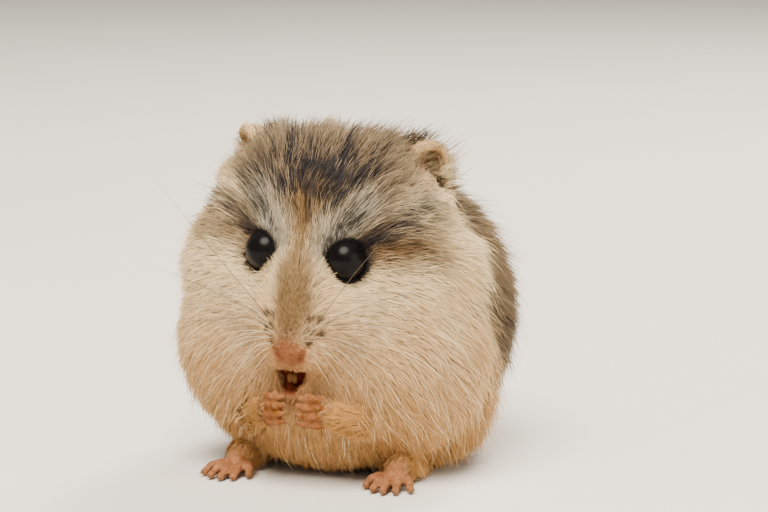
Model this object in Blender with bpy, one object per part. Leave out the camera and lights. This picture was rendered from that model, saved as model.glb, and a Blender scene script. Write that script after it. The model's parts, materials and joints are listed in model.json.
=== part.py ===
"""A Roborovski dwarf hamster at life size, sitting hunched with both forepaws raised to its mouth.

The solids give the animal out to the tips of its coat. The flesh is modelled whole, from rounded masses
melted together, and is then parted with thin cuts into head, neck and trunk, with the legs, ears, eyes and
tail set into it. The animal faces -Y, its left side is +X, and it sits on the floor at z = 0. Everything is
modelled in millimetres, and each finished piece is shrunk to metres.
"""

import math

import bmesh
import bpy
from mathutils import Matrix, Vector

MM = 0.001
GAP = 0.3  # the thin cut between two neighbouring pieces
FLOOR = 0.0
SIDES = {"left": 1, "right": -1}

# Driving sizes of the animal, out to the tips of the coat.
BODY_HALF_WIDTH = 18.5
BACK_Y = 25.5  # how far back the rump reaches
MIDDLE_Y = 4.55  # the middle of its length, which ends up over the origin
CROWN_HEIGHT = 39.8
EYE_HEIGHT = 26.0
EYE_FORWARD = 12.0
EYE_ASIDE = 0.5  # how far the middle of the eyes lies to the animal's left
EYE_SPACING = 9.3  # between the centres of the two eyes
EYE_RADIUS = 2.35
SNOUT_LENGTH = 10.6  # from the line of the eyes to the tip of the nose
HEAD_PITCH = 47  # degrees that the snout points below the horizon
HEAD_ROLL = 3.6  # degrees that the crown leans to the animal's left
EAR_LENGTH, EAR_WIDTH = 7.6, 6.4
MOUTH = (-0.5, -14.6, 12.6)  # the middle of its opening

# How finely masses are melted together, and how many triangles a piece may take.
BODY_VOXEL, MUZZLE_VOXEL, HINDLEG_VOXEL, FORELEG_VOXEL, TOOTH_VOXEL = 0.6, 0.42, 0.3, 0.24, 0.1
TRIANGLES = {
    "head": 2050,
    "neck": 420,
    "trunk": 1150,
    "hindleg": 480,
    "foreleg": 560,
    "ear": 260,
    "eye": 260,
    "tail": 120,
    "incisors": 120,
    "cutter": 200,
}

COLOURS = {
    "coat": ((0.42, 0.29, 0.17), 0.8),
    "ear_skin": ((0.6, 0.42, 0.33), 0.6),
    "paw_skin": ((0.66, 0.4, 0.3), 0.55),
    "eye": ((0.006, 0.006, 0.008), 0.08),
    "enamel": ((0.72, 0.5, 0.22), 0.3),
}


def head_frame():
    """The frame of the head: its origin is midway between the eyes, and the snout points along its -Y."""
    place = Matrix.Translation((EYE_ASIDE, -EYE_FORWARD, EYE_HEIGHT))
    lean = Matrix.Rotation(math.radians(HEAD_ROLL), 4, "Y")
    nod = Matrix.Rotation(math.radians(HEAD_PITCH), 4, "X")
    return place @ lean @ nod


HEAD = head_frame()
WORLD = Matrix.Identity(4)


def clear_scene():
    for obj in list(bpy.data.objects):
        bpy.data.objects.remove(obj)


def material(name):
    colour, roughness = COLOURS[name]
    made = bpy.data.materials.get(name) or bpy.data.materials.new(name)
    made.use_nodes = True
    shader = made.node_tree.nodes["Principled BSDF"]
    shader.inputs["Base Color"].default_value = (*colour, 1)
    shader.inputs["Roughness"].default_value = roughness
    return made


def new_object(name, mesh):
    made = bpy.data.objects.new(name, mesh)
    bpy.context.scene.collection.objects.link(made)
    return made


def mass(centre, radii, frame=WORLD, turn=(0, 0, 0), fineness=4):
    """A rounded mass of flesh: an ellipsoid at a place in a frame, turned by degrees about X, Y and Z."""
    mesh = bpy.data.meshes.new("mass")
    ball = bmesh.new()
    bmesh.ops.create_icosphere(ball, subdivisions=fineness, radius=1)
    turned = Matrix.Identity(4)
    for axis, degrees in zip("XYZ", turn):
        turned = Matrix.Rotation(math.radians(degrees), 4, axis) @ turned
    stretch = Matrix.Diagonal((*radii, 1))
    ball.transform(frame @ Matrix.Translation(centre) @ turned @ stretch)
    ball.to_mesh(mesh)
    ball.free()
    return new_object("mass", mesh)


def limb(start, end, start_radius, end_radius, sides=12):
    """A tapering limb with round ends, from one point to another."""
    start, end = Vector(start), Vector(end)
    along = end - start
    lift = along.to_track_quat("Z", "Y").to_matrix().to_4x4()
    mesh = bpy.data.meshes.new("limb")
    shaft = bmesh.new()
    bmesh.ops.create_cone(
        shaft,
        cap_ends=True,
        segments=sides,
        radius1=start_radius,
        radius2=end_radius,
        depth=along.length,
        matrix=Matrix.Translation((start + end) / 2) @ lift,
    )
    for place, radius in ((start, start_radius), (end, end_radius)):
        bmesh.ops.create_icosphere(shaft, subdivisions=2, radius=radius, matrix=Matrix.Translation(place))
    shaft.to_mesh(mesh)
    shaft.free()
    return new_object("limb", mesh)


def joined(objects, name):
    """Several closed meshes put into one object, still overlapping."""
    mesh = bpy.data.meshes.new(name)
    together = bmesh.new()
    for obj in objects:
        together.from_mesh(obj.data)
        bpy.data.objects.remove(obj)
    together.to_mesh(mesh)
    together.free()
    return new_object(name, mesh)


def apply_modifiers(obj):
    """Bakes an object's modifiers into its mesh."""
    graph = bpy.context.evaluated_depsgraph_get()
    mesh = bpy.data.meshes.new_from_object(obj.evaluated_get(graph), depsgraph=graph)
    obj.modifiers.clear()
    obj.data = mesh
    return obj


def melted(objects, name, voxel, smoothing):
    """Overlapping masses made one skin, with the creases between them softened."""
    obj = joined(objects, name)
    remesh = obj.modifiers.new("melt", "REMESH")
    remesh.mode = "VOXEL"
    remesh.voxel_size = voxel
    soften = obj.modifiers.new("soften", "SMOOTH")
    soften.factor = 0.5
    soften.iterations = smoothing
    return apply_modifiers(obj)


def thinned(obj, triangles):
    """The same shape with at most this many triangles."""
    obj.data.calc_loop_triangles()
    thin = obj.modifiers.new("thin", "DECIMATE")
    thin.ratio = min(1.0, triangles / len(obj.data.loop_triangles))
    thin.use_collapse_triangulate = True
    return apply_modifiers(obj)


def boolean(obj, other, operation):
    """Applies a Boolean and removes the other object, which is used up."""
    cut = obj.modifiers.new(operation.lower(), "BOOLEAN")
    cut.operation = operation
    cut.object = other
    cut.solver = "EXACT"
    apply_modifiers(obj)
    bpy.data.objects.remove(other)
    return obj


def carved(obj, away):
    return boolean(obj, away, "DIFFERENCE")


def common(obj, region):
    return boolean(obj, region, "INTERSECT")


def block(lower, upper, name):
    """A plain box between two corners."""
    lower, upper = Vector(lower), Vector(upper)
    mesh = bpy.data.meshes.new(name)
    box = bmesh.new()
    bmesh.ops.create_cube(box, size=1)
    box.transform(Matrix.Translation((lower + upper) / 2) @ Matrix.Diagonal((*(upper - lower), 1)))
    box.to_mesh(mesh)
    box.free()
    return new_object(name, mesh)


def copied(obj, name):
    return new_object(name, obj.data.copy())


def swollen(obj, name, by):
    """A copy of a closed shape grown outwards along its normals."""
    grown = copied(obj, name)
    swell = grown.modifiers.new("swell", "DISPLACE")
    swell.mid_level = 0
    swell.strength = by
    return apply_modifiers(grown)


def outline_block(points, name):
    """A block with this outline in side view, (y, z) points in order, that reaches across the whole body."""
    mesh = bpy.data.meshes.new(name)
    block = bmesh.new()
    reach = BODY_HALF_WIDTH + 10
    face = block.faces.new([block.verts.new((-reach, y, z)) for y, z in points])
    made = bmesh.ops.extrude_face_region(block, geom=[face])["geom"]
    moved = [v for v in made if isinstance(v, bmesh.types.BMVert)]
    bmesh.ops.translate(block, verts=moved, vec=(2 * reach, 0, 0))
    bmesh.ops.recalc_face_normals(block, faces=block.faces)
    block.to_mesh(mesh)
    block.free()
    return new_object(name, mesh)


def both_sides(make):
    """The objects that a maker gives for the left side and for the right, in one list."""
    return [made for side in SIDES.values() for made in make(side)]


def body_masses():
    """The trunk, out to its coat: a ball that narrows upwards to the nape."""
    wide = BODY_HALF_WIDTH
    masses = [
        mass((0, 6, 17.4), (wide, 17.5, 18)),  # ribcage and belly
        mass((0, BACK_Y - 13.5, 13.5), (wide - 2, 13.5, 14)),  # rump
        mass((0, -3, 22.6), (wide - 0.4, 11.5, 14.0)),  # shoulders and ruff
        mass((0, -4, 12), (wide - 4.5, 8.5, 11.8)),  # chest
        mass((0, 3, 27), (11.5, 12, 11.2)),  # nape
        mass((0, -3.2, CROWN_HEIGHT - 9), (8.6, 8.8, 9.1)),  # crown
    ]

    def side_masses(side):
        shoulder = mass((side * 7.8, -3, 15), (wide - 7.7, 9.8, 12.6))
        crown = mass((side * 4.2, -3.2, CROWN_HEIGHT - 9.2), (8.8, 8.8, 8.8))
        temple = mass((side * 7.6, -3, 29.4), (6.8, 8.8, 8.8))
        return [shoulder, crown, temple]

    return masses + both_sides(side_masses)


def head_masses():
    """The skull, brow and cheeks, out to the tips of their coat."""
    masses = [
        mass((0, 7.0, -0.4), (9.7, 9.2, 6.5), HEAD),  # cranium
        mass((0, -1.3, -0.6), (3.7, 5.6, 3.5), HEAD),  # brow and bridge of the nose
        mass((0, -5.1, -3.4), (3.9, 4.7, 3.3), HEAD),  # snout
        mass((0, -3.0, -4.4), (6.2, 5.4, 4.9), HEAD),  # between the cheeks
    ]

    def side_masses(side):
        cheek = mass((side * 7.4, 3.6, -5.6), (6.6, 8.0, 6.6), HEAD)
        whisker_cheek = mass((side * 4.4, -3.0, -5.4), (4.7, 5.2, 4.6), HEAD)
        jowl = mass((side * 6.4, -2.6, -8.6), (5.0, 5.4, 4.6), HEAD)
        return [cheek, whisker_cheek, jowl]

    return masses + both_sides(side_masses)


def muzzle_masses():
    """The nose and the two whisker pads, which are too small to be melted in with the rest."""
    masses = [
        mass((0, -SNOUT_LENGTH + 1.4, -4.0), (1.7, 1.6, 1.5), HEAD),  # nose
        mass((0, -6.1, -3.4), (2.8, 4.3, 2.6), HEAD),  # bridge down to the nose
        mass((-0.5, -12.3, 10.9), (2.4, 2.4, 1.9)),  # chin
        mass((-0.2, -11.5, 14.6), (3.4, 3.0, 3.2)),  # mouth
    ]

    def side_masses(side):
        return [mass((side * 1.9, -8.1, -5.6), (2.4, 2.7, 2.6), HEAD)]  # whisker pad

    return masses + both_sides(side_masses)


def foot_masses(side):
    """A long slender hind foot, flat on the floor, with five toes."""
    x = side * 9.4
    masses = [
        limb((x, 2, 2.6), (x, -6.5, 1.9), 2.9, 2.2),
        limb((x, -6, 1.8), (x + side * 0.3, -9.8, 1.4), 2.3, 1.7),
    ]
    for toe in range(-2, 3):
        inner = toe * side < 0
        reach = 3.6 - 0.42 * toe * toe * (1.2 if inner else 1)
        knuckle = (x + toe * 0.9, -9.2, 1.2)
        tip = (x + toe * 1.15 + side * 0.3, -9.8 - reach, 0.6)
        masses.append(limb(knuckle, tip, 0.9, 0.66, sides=8))
    return masses


def hindleg(side):
    """A thigh drawn up against the flank, and its foot."""
    thigh = mass((side * 10.4, 4.5, 9.6), (6.7, 10.2, 9.6))
    whole = melted([thigh] + foot_masses(side), "hindleg", HINDLEG_VOXEL, 4)
    return thinned(whole, TRIANGLES["hindleg"])


def paw_masses(side):
    """A small hand held to the mouth, its four fingers lying across towards the other one."""
    masses = [mass((side * 3.2, -14.5, 9.0), (1.6, 1.4, 1.8))]
    for finger in range(4):
        z = 7.8 + 0.98 * finger
        knuckle = (side * 2.6, -15.1 - 0.2 * math.sin(finger), z)
        tip = (side * 0.8, -15.9, z + 0.35)
        masses.append(limb(knuckle, tip, 0.6, 0.48, sides=8))
    return masses


def foreleg(side, hind):
    """A foreleg bent up under the chin, clear of the thigh behind it."""
    upper_arm = mass((side * 6.3, -6.9, 10.4), (4.2, 4.6, 5.4))
    forearm = limb((side * 6.6, -9.6, 7.6), (side * 3.9, -13.7, 8.0), 2.3, 1.5)
    whole = melted([upper_arm, forearm] + paw_masses(side), "foreleg", FORELEG_VOXEL, 3)
    thinned(whole, TRIANGLES["foreleg"])
    return carved(whole, swollen(hind, "clear_of_thigh", GAP))


def ear_frame(side):
    """An ear's frame: origin at the root, Z up the ear, and -Y the way its cup opens."""
    root = HEAD @ Vector((side * 9.1, 10.0, -1.9))
    turned = Matrix.Rotation(math.radians(side * 48), 4, "Z")
    lean = Matrix.Rotation(math.radians(side * 14), 4, "Y")
    tip_back = Matrix.Rotation(math.radians(-14), 4, "X")
    return Matrix.Translation(root) @ lean @ tip_back @ turned


def ear(side):
    """A thin rounded cup."""
    frame = ear_frame(side)
    half, wall = EAR_WIDTH / 2, 0.75
    shell = mass((0, 0, 3.0), (half, 2.2, EAR_LENGTH - 3.0), frame)
    hollow = mass((0, -1.25, 3.1), (half - wall, 2.0, EAR_LENGTH - 3.15 - wall), frame)
    return thinned(carved(shell, hollow), TRIANGLES["ear"])


def eye(side):
    ball = mass((side * EYE_SPACING / 2, -0.1, 0.4), (EYE_RADIUS,) * 3, HEAD)
    return thinned(ball, TRIANGLES["eye"])


def tail():
    """A stub that barely shows under the coat of the rump."""
    stub = mass((0, BACK_Y - 2.4, 4.2), (1.7, 3.2, 1.6), turn=(14, 0, 0), fineness=3)
    return thinned(stub, TRIANGLES["tail"])


def mouth():
    """The hollow of the mouth, a little open."""
    return mass(MOUTH, (1.9, 2.4, 0.95), turn=(-8, -HEAD_ROLL, 0), fineness=3)


def upper_incisors():
    """The two front teeth, which show side by side in the mouth."""
    x, y, z = MOUTH
    teeth = [mass((x + aside, y + 0.6, z + 0.05), (0.33, 0.3, 0.62)) for aside in (-0.27, 0.27)]
    return thinned(melted(teeth, "incisors", TOOTH_VOXEL, 1), TRIANGLES["incisors"])


def own_pieces():
    """The pieces that are modelled on their own, and the material of each."""
    pieces = {"tail": (tail(), "coat"), "upper_incisors": (upper_incisors(), "enamel")}
    for word, side in SIDES.items():
        hind = hindleg(side)
        pieces["hindleg_" + word] = (hind, "coat")
        pieces["foreleg_" + word] = (foreleg(side, hind), "paw_skin")
        pieces["ear_" + word] = (ear(side), "ear_skin")
        pieces["eye_" + word] = (eye(side), "eye")
    return pieces


def whole_flesh():
    """Head, neck and trunk in one."""
    body = melted(body_masses() + head_masses(), "body", BODY_VOXEL, 14)
    whole = melted([body] + muzzle_masses(), "whole", MUZZLE_VOXEL, 6)
    return carved(whole, mouth())


def regions():
    """Blocks that part the whole flesh into head, neck and trunk, with a thin cut between them."""
    far_front, far_back, top, bottom = -40, 60, 44, -4
    head_line = [(-13.2, 8.2), (-1.5, 19.5), (2.6, top)]
    neck_line = [(-11.5, 4.6), (3.2, 16.5), (8.0, top)]

    def past_the_cut(line):
        return [(y + GAP, z - GAP / 2) for y, z in reversed(line)]

    front = [(far_front, head_line[0][1])]
    under = [(far_front, neck_line[0][1]), (far_front, bottom), (far_back, bottom), (far_back, top)]
    outlines = {
        "head": front + head_line + [(far_front, top)],
        "neck": past_the_cut(head_line) + neck_line,
        "trunk": past_the_cut(neck_line) + under,
    }
    return {name: outline_block(outline, name + "_region") for name, outline in outlines.items()}


def largest_island(mesh):
    """The connected vertices that make up the biggest piece of a bmesh."""
    unseen = set(mesh.verts)
    islands = []
    while unseen:
        island, edge = set(), [unseen.pop()]
        while edge:
            vertex = edge.pop()
            island.add(vertex)
            linked = {e.other_vert(vertex) for e in vertex.link_edges} & unseen
            unseen -= linked
            edge.extend(linked)
        islands.append(island)
    return max(islands, key=len)


def drop_crumbs(obj):
    """Removes the crumbs that a cut can leave beside the piece itself."""
    mesh = bmesh.new()
    mesh.from_mesh(obj.data)
    kept = largest_island(mesh)
    bmesh.ops.delete(mesh, geom=[v for v in mesh.verts if v not in kept], context="VERTS")
    mesh.to_mesh(obj.data)
    mesh.free()


def finished(name, obj, material_name):
    """One node: a closed body that stops at the floor, in metres, with its material."""
    carved(obj, block((-60, -60, -30), (60, 60, FLOOR), "under_floor"))
    drop_crumbs(obj)
    obj.name = name
    obj.data.materials.clear()
    obj.data.materials.append(material(material_name))
    obj.data.transform(Matrix.Scale(MM, 4) @ Matrix.Translation((0, -MIDDLE_Y, 0)))


def cutter(obj):
    """What a piece takes out of the flesh around it: itself and a thin gap."""
    return thinned(swollen(obj, "cutter", GAP * 1.4), TRIANGLES["cutter"])


def main():
    clear_scene()
    whole = whole_flesh()
    pieces = own_pieces()
    for name, region in regions().items():
        flesh = common(copied(whole, name), region)
        thinned(flesh, TRIANGLES[name])
        for piece, _ in pieces.values():
            carved(flesh, cutter(piece))
        finished(name, flesh, "coat")
    for name, (piece, material_name) in pieces.items():
        finished(name, piece, material_name)
    bpy.data.objects.remove(whole)


main()
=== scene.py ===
"""The looks of a Roborovski dwarf hamster: one skin inside the solids, and a coat of tufts that grows on it.

Lengths are in millimetres up to the last step, where each mesh is shrunk to metres. The animal faces -Y,
its left side is +X, and it sits on the floor at z = 0.
"""

import json
import math

import bpy
import numpy as np
from mathutils import Matrix, Vector
from mathutils.bvhtree import BVHTree

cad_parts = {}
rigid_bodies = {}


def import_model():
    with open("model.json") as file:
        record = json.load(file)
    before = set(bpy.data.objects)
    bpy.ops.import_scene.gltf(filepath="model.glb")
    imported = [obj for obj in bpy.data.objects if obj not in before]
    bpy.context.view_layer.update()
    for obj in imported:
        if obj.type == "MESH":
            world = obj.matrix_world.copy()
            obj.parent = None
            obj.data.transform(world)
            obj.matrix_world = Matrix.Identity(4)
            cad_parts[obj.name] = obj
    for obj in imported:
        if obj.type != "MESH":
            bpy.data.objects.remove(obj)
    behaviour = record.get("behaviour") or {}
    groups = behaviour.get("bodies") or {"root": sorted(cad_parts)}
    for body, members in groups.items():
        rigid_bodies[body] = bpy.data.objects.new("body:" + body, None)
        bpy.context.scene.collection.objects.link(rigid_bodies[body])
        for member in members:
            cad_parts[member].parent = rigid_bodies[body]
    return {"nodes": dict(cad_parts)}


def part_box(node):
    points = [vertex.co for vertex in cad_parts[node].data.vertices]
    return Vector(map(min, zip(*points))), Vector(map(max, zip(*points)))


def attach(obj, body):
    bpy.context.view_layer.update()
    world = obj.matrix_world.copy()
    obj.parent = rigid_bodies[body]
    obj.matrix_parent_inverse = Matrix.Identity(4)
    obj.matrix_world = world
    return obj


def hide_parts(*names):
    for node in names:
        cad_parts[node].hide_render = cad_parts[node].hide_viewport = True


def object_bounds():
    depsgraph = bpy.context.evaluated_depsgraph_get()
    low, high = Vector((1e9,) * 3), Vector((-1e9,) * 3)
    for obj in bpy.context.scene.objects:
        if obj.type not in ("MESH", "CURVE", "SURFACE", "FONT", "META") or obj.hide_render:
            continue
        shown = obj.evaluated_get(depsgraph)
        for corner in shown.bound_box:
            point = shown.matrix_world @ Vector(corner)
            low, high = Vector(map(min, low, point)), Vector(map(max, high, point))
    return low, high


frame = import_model()
cad_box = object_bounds()

MM = 0.001
SIDES = {"left": 1, "right": -1}
FLESH = [
    "head", "neck", "trunk", "tail", "foreleg_left", "foreleg_right",
    "hindleg_left", "hindleg_right", "ear_left", "ear_right",
]
HEAD_PITCH = 47  # degrees that the snout points down
SKIN_VOXEL = 0.46
DETAIL_VOXEL = 0.155
SWELL = 0.3  # how far the copies of the solids grow, so that they close the cuts between them
WRIST_Y, ANKLE_Y = -17.6, -12.6  # ahead of these, finer hands and feet take the place of the solids
FOOT_X = 9.4  # how far each foot stands from the middle
LONG_HAIR = 2.2  # on the front of the body, strands longer than this have one more ring
PIECE_TRIANGLES = 190000  # the most in one piece of the coat
PATCH = 0.003  # the width of one tuft's patch on the coat's map
SOFTNESS = 0.55  # how far a hair is shaded as the coat under it, not as a bar of its own
BODY, EAR, PAW, FOOT, LID = range(5)  # the parts of the skin
BOX_LOW, BOX_HIGH = (np.array(corner) / MM for corner in cad_box)

rng = np.random.default_rng(20)


# ---------------------------------------------------------------- places on the animal


def middle_of(node):
    low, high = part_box(node)
    return (low + high) / 2 / MM


EYE = {side: np.array(middle_of("eye_" + side)) for side in SIDES}
EYE_RADIUS = (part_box("eye_left")[1].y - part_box("eye_left")[0].y) / 2 / MM


def head_frame():
    """Origin between the eyes, X to the animal's left, -Y along the snout, Z out of the forehead."""
    left, right = middle_of("eye_left"), middle_of("eye_right")
    across = left - right
    roll = math.atan2(-across.z, across.x)
    place = Matrix.Translation((left + right) / 2)
    nod = Matrix.Rotation(math.radians(HEAD_PITCH), 4, "X")
    return place @ Matrix.Rotation(roll, 4, "Y") @ nod @ Matrix.Translation((0, 0.1, -0.4))


HEAD = head_frame()
HEAD_TURN = np.array(HEAD.to_3x3())
HEAD_PLACE = np.array(HEAD.translation)


def on_head(x, y, z):
    return np.array(HEAD @ Vector((x, y, z)))


def head_coordinates(points):
    return (points - HEAD_PLACE) @ HEAD_TURN


NOSE = on_head(0, -9.2, -4.0)
LIPS = np.array(middle_of("upper_incisors")) + (-0.75, 0.2, -0.3)  # the middle of the open mouth


def ear_frame(side):
    """Z up the ear, -Y out of its opening."""
    root = HEAD @ Vector((side * 9.1, 10.0, -1.9))
    lean = Matrix.Rotation(math.radians(side * 14), 4, "Y")
    tip_back = Matrix.Rotation(math.radians(-14), 4, "X")
    turned = Matrix.Rotation(math.radians(side * 48), 4, "Z")
    return Matrix.Translation(root) @ lean @ tip_back @ turned


EAR_FRAMES = {side: ear_frame(SIDES[side]) for side in SIDES}
EAR_TURNS = {side: np.array(EAR_FRAMES[side].to_3x3()) for side in SIDES}


def ear_coordinates(points, side):
    """Places seen from the foot of the ear."""
    inverse = np.array(EAR_FRAMES[side].inverted())
    return points @ inverse[:3, :3].T + inverse[:3, 3]


# ---------------------------------------------------------------- small tools


def select_only(*objects):
    bpy.ops.object.select_all(action="DESELECT")
    for obj in objects:
        obj.select_set(True)
    bpy.context.view_layer.objects.active = objects[0]


def edit(chosen="SELECT"):
    """Opens the active object for editing with all of it selected, or nothing of it."""
    bpy.ops.object.mode_set(mode="EDIT")
    bpy.ops.mesh.select_all(action=chosen)


def stop_editing():
    bpy.ops.object.mode_set(mode="OBJECT")


def add(primitive, **settings):
    """A new primitive, made with nothing else selected."""
    bpy.ops.object.select_all(action="DESELECT")
    primitive(**settings)
    return bpy.context.object


def apply_modifier(obj, kind, **settings):
    modifier = obj.modifiers.new(kind.lower(), kind)
    for name, value in settings.items():
        setattr(modifier, name, value)
    select_only(obj)
    bpy.ops.object.modifier_apply(modifier=modifier.name)


def join(objects, name):
    select_only(*objects)
    if len(objects) > 1:
        bpy.ops.object.join()
    joined = bpy.context.view_layer.objects.active
    joined.name = joined.data.name = name
    return joined


def new_piece(name, mesh):
    piece = bpy.data.objects.new(name, mesh)
    bpy.context.scene.collection.objects.link(piece)
    return piece


def read(items, what, columns=1, kind=np.float32):
    """One value, or a row of them, for every vertex, corner or face of a mesh."""
    values = np.empty(len(items) * columns, kind)
    items.foreach_get(what, values)
    return values.reshape(-1, columns) if columns > 1 else values


def to_metres(piece):
    piece.data.transform(Matrix.Scale(MM, 4))


def points_of(mesh, what="co"):
    return read(mesh.vertices, what, 3).astype(float)


def parts_of(mesh):
    return read(mesh.attributes["part"].data, "value", kind=np.int32)


def set_points(mesh, points):
    mesh.vertices.foreach_set("co", points.astype(np.float32).ravel())
    mesh.update()


def stand(piece, place, way):
    """Lays a piece that was made along Z along its way, with its middle at its place."""
    turn = way.to_track_quat("Z", "Y").to_matrix().to_4x4()
    piece.data.transform(Matrix.Translation(place) @ turn)


def ball(centre, radii, around=None, segments=32):
    """An ellipsoid: a ball that is stretched, put in its place, and turned with the frame around it."""
    rings = segments // 2
    made = add(bpy.ops.mesh.primitive_uv_sphere_add, segments=segments, ring_count=rings, radius=1)
    own = around or Matrix.Identity(4)
    made.data.transform(own @ Matrix.Translation(centre) @ Matrix.Diagonal((*radii, 1)))
    return made


def limb(start, end, start_radius, end_radius, sides=20):
    """A tapered round bar with round ends."""
    start, end = Vector(start), Vector(end)
    along = end - start
    bar = add(
        bpy.ops.mesh.primitive_cone_add,
        vertices=sides, radius1=start_radius, radius2=end_radius, depth=along.length,
    )
    stand(bar, (start + end) / 2, along)
    first = ball(start, (start_radius,) * 3, segments=sides)
    last = ball(end, (end_radius,) * 3, segments=sides)
    return join([bar, first, last], "limb")


def melt(objects, name, voxel, smoothing):
    """Overlapping closed shapes made one skin with no inner faces."""
    melted = join(objects, name)
    apply_modifier(melted, "REMESH", mode="VOXEL", voxel_size=voxel)
    apply_modifier(melted, "SMOOTH", factor=0.5, iterations=smoothing)
    return melted


def mark(obj, kind):
    """Notes on every face which part of the skin it is."""
    values = np.full(len(obj.data.polygons), kind, np.int32)
    obj.data.attributes.new("part", "INT", "FACE").data.foreach_set("value", values)
    return obj


def step(value, soft):
    """0 well below zero, 1 well above it, with a soft edge."""
    t = np.clip(value / soft * 0.5 + 0.5, 0, 1)
    return t * t * (3 - 2 * t)


def bell(distance, reach):
    """1 at no distance, falling off as a bell that is that wide."""
    return np.exp(-((distance / reach) ** 2))


def distance_to(points, place):
    return np.linalg.norm(points - np.asarray(place), axis=1)


def distance_to_bar(points, start, end):
    start, end = np.asarray(start, float), np.asarray(end, float)
    along = end - start
    t = np.clip((points - start) @ along / (along @ along), 0, 1)
    return np.linalg.norm(points - start - t[:, None] * along, axis=1)


def near(points, place, reach):
    return bell(distance_to(points, place), reach)


def unit(vectors):
    return vectors / np.maximum(np.linalg.norm(vectors, axis=-1, keepdims=True), 1e-9)


def lay_down(ways, normals):
    """Turns each way until it lies flat on the surface."""
    return unit(ways - (ways * normals).sum(1, keepdims=True) * normals)


def away_from_axis(ways, axis):
    """The direction in which each way leans off the axis."""
    return unit(ways - (ways @ axis)[:, None] * axis)


def both(field, points):
    """A field that is given for one side, for the two sides together."""
    return field(points, "left") + field(points, "right")


def left_half(local):
    """Places on the head, with those on its right mirrored to its left."""
    return np.column_stack([np.abs(local[:, 0]), local[:, 1:]])


WAVES = np.random.default_rng(5).normal(size=(12, 3))
PHASES = np.random.default_rng(6).uniform(0, 6.28, 12)


def waviness(points, size, seed=0):
    """Smooth noise from -1 to 1 whose bumps are about that size."""
    turned = points @ np.roll(WAVES, seed, axis=0).T * (2.2 / size) + PHASES * (seed + 1)
    return np.sin(turned).mean(axis=1) * 2.4


# ---------------------------------------------------------------- the coat's fields


def coat_length(points):
    """How long the hair grows, shortest on the nose and round the eyes and mouth."""
    local = head_coordinates(points)
    reach = distance_to(points, NOSE)
    length = np.clip(0.42 + 0.2 * np.maximum(reach - 1.2, 0), 0.42, 4.4)
    crown = step(local[:, 1] - 7, 5) * step(local[:, 2], 4)
    length += 0.3 * crown
    length *= 1 - 0.3 * crown * crown_side(local)
    for side in SIDES:
        length *= 1 - 0.70 * bell(off_eyeball(points, side), 0.8)
        length *= 1 - 0.78 * by_ear(points, side)
        length += 0.8 * ear_fluff(points, side)
    length *= 1 - 0.45 * near(points, LIPS, 3.0)
    return length * (1 - 0.35 * step(3.5 - points[:, 2], 3))


def crown_side(local):
    """1 on the sides of the crown, where it slopes down to the ears, 0 along its middle."""
    return step(np.abs(local[:, 0]) - 5.2, 3.5)


def off_eyeball(points, side):
    """Distance to the eyeball, 0 inside it."""
    return np.maximum(distance_to(points, EYE[side]) - EYE_RADIUS, 0)


def by_ear(points, side):
    """1 at the foot of the ear and in front of its opening, 0 away from it."""
    away = (ear_coordinates(points, side) - (0, -1.2, 1.6)) / (3.6, 3.3, 4.7)
    return step(1.2 - np.linalg.norm(away, axis=1), 0.5)


def coat_lift(points):
    """How steeply the hair leaves the skin, in radians, at its root."""
    local = head_coordinates(points)
    crown = step(local[:, 1] - 6, 6) * step(local[:, 2] - 1, 4) * step(-points[:, 1] - 4, 6)
    crown = crown * (1 - 1.3 * crown_side(local))
    return np.radians(40 + 16 * crown - 14 * near(points, NOSE, 9) - 22 * both(by_ear, points))


def coat_depth(points):
    """How far the skin lies inside the coat's outline."""
    return coat_length(points) * np.sin(coat_lift(points) * 0.725 - 0.11)


def coat_lie(points, normals):
    """The way the hair points: away from the nose and down the flanks, and round the eyes."""
    lie = unit(points - NOSE)
    brow = on_head(0, -4.5, -1.0)
    above = step(head_coordinates(points)[:, 1] + 3, 3) * near(points, brow, 9)
    lie += 2.0 * above[:, None] * unit(points - brow)
    sag = 0.5 * step(distance_to(points, NOSE) - 8, 8)
    lie[:, 2] -= sag * step(34 - points[:, 2], 8)
    for side in SIDES:
        outwards = away_from_axis(points - EYE[side], eye_axis(side))
        lie += 1.2 * bell(off_eyeball(points, side), 1.1)[:, None] * outwards
        ear_middle = np.array(EAR_FRAMES[side] @ Vector((0, 0, 1.5)))
        lie += 0.5 * near(points, ear_middle, 3.4)[:, None] * unit(points - ear_middle)
    for axis in range(3):
        lie[:, axis] += 0.15 * waviness(points, 2.2, axis) + 0.1 * waviness(points, 6, axis + 3)
    return lay_down(lie, normals)


# ---------------------------------------------------------------- the markings

# linear red, green and blue
WHITE = (0.86, 0.67, 0.40)
CREAM = (0.49, 0.22, 0.048)
BROW = (0.29, 0.252, 0.188)
SANDY = (0.325, 0.222, 0.118)
GINGER = (0.195, 0.107, 0.036)
OCHRE = (0.090, 0.038, 0.010)
SLATE = (0.014, 0.013, 0.016)
GREY_BROWN = (0.17, 0.125, 0.075)
NOSE_PINK = (0.22, 0.070, 0.028)
# partly painted shade: the hair's own tan round the mouth, darkened for the shade under the upper lip
SHADED_LIP_TAN = (0.26, 0.095, 0.032)
SKIN_PINK = (0.40, 0.18, 0.09)
EAR_RIM = (0.44, 0.28, 0.13)
EAR_BOWL = (0.29, 0.165, 0.10)
# partly painted light: the hands' and feet's own pink skin, drawn darker and more orange for painted shade
# and warm bounce light
SHADED_PAW_TAN = (0.16, 0.055, 0.013)
# partly painted shade: the flesh's own red, darkened for the shade inside the open mouth and the nostrils
SHADED_MOUTH_RED = (0.13, 0.022, 0.007)
# partly painted shade: the incisors' own yellow-orange, darkened as they lie in the shade of the mouth
SHADED_ENAMEL = (0.085, 0.030, 0.006)
HORN = (0.13, 0.08, 0.045)
LID_BLACK = (0.004, 0.0035, 0.004)


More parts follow.
